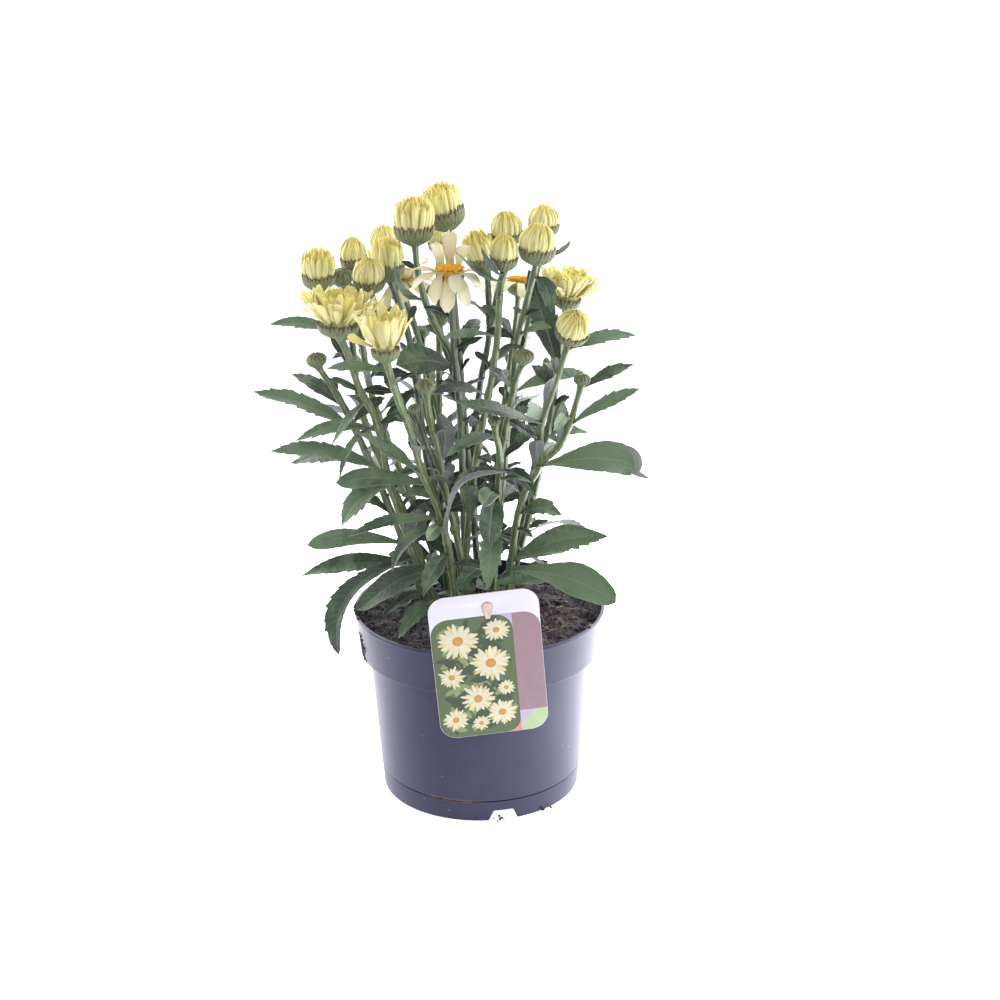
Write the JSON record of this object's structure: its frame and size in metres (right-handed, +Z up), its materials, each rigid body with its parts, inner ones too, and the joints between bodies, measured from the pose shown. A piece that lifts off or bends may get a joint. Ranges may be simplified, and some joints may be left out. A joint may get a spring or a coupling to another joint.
{
  "type": "potted banana cream shasta daisy",
  "caption": "Shasta daisy with cream buds, half-open and open flowers on tall leafy stems, in a filled round nursery pot with a plant label on a stake at its rim.",
  "frame": {"origin": "middle of the pot's underside, on the small pad it stands on", "axes": "+Z up through the pot's axis and the plant, -Y the front, where the label hangs, +X to the right seen from the front"},
  "size_m": [0.2853, 0.2456, 0.4631],
  "materials": {
    "pot_plastic": "satin",
    "peat": "matte",
    "label_card": "satin",
    "label_stake": "matte",
    "leaf_green": "satin",
    "petal_cream": "matte",
    "disc_yellow": "matte"
  },
  "bodies": {
    "root": {"disc_back_daisy_1": "disc_yellow", "disc_pale_1": "disc_yellow", "disc_top_left_2": "disc_yellow", "label_card": "label_card", "label_stake": "label_stake", "petals_back_centre_1": "petal_cream", "petals_back_daisy_1": "petal_cream", "petals_back_left_1": "petal_cream", "petals_centre_right_1": "petal_cream", "petals_dark_1": "petal_cream", "petals_dark_2": "petal_cream", "petals_far_right_1": "petal_cream", "petals_front_left_1": "petal_cream", "petals_left_1": "petal_cream", "petals_left_pair_1": "petal_cream", "petals_left_pair_2": "petal_cream", "petals_outer_left_1": "petal_cream", "petals_pale_1": "petal_cream", "petals_pale_2": "petal_cream", "petals_right_1": "petal_cream", "petals_right_half_open_1": "petal_cream", "petals_right_tall_1": "petal_cream", "petals_top_1": "petal_cream", "petals_top_left_1": "petal_cream", "petals_top_left_2": "petal_cream", "pot": "pot_plastic", "soil": "peat", "stem_back_bud_left": "leaf_green", "stem_back_bud_right": "leaf_green", "stem_back_centre": "leaf_green", "stem_back_daisy": "leaf_green", "stem_back_left": "leaf_green", "stem_centre_buds": "leaf_green", "stem_centre_right": "leaf_green", "stem_dark": "leaf_green", "stem_far_right": "leaf_green", "stem_front_buds": "leaf_green", "stem_front_left": "leaf_green", "stem_left": "leaf_green", "stem_left_bud": "leaf_green", "stem_left_pair": "leaf_green", "stem_outer_left": "leaf_green", "stem_pale": "leaf_green", "stem_right": "leaf_green", "stem_right_half_open": "leaf_green", "stem_right_tall": "leaf_green", "stem_top": "leaf_green", "stem_top_left": "leaf_green"}
  },
  "joints": []
}
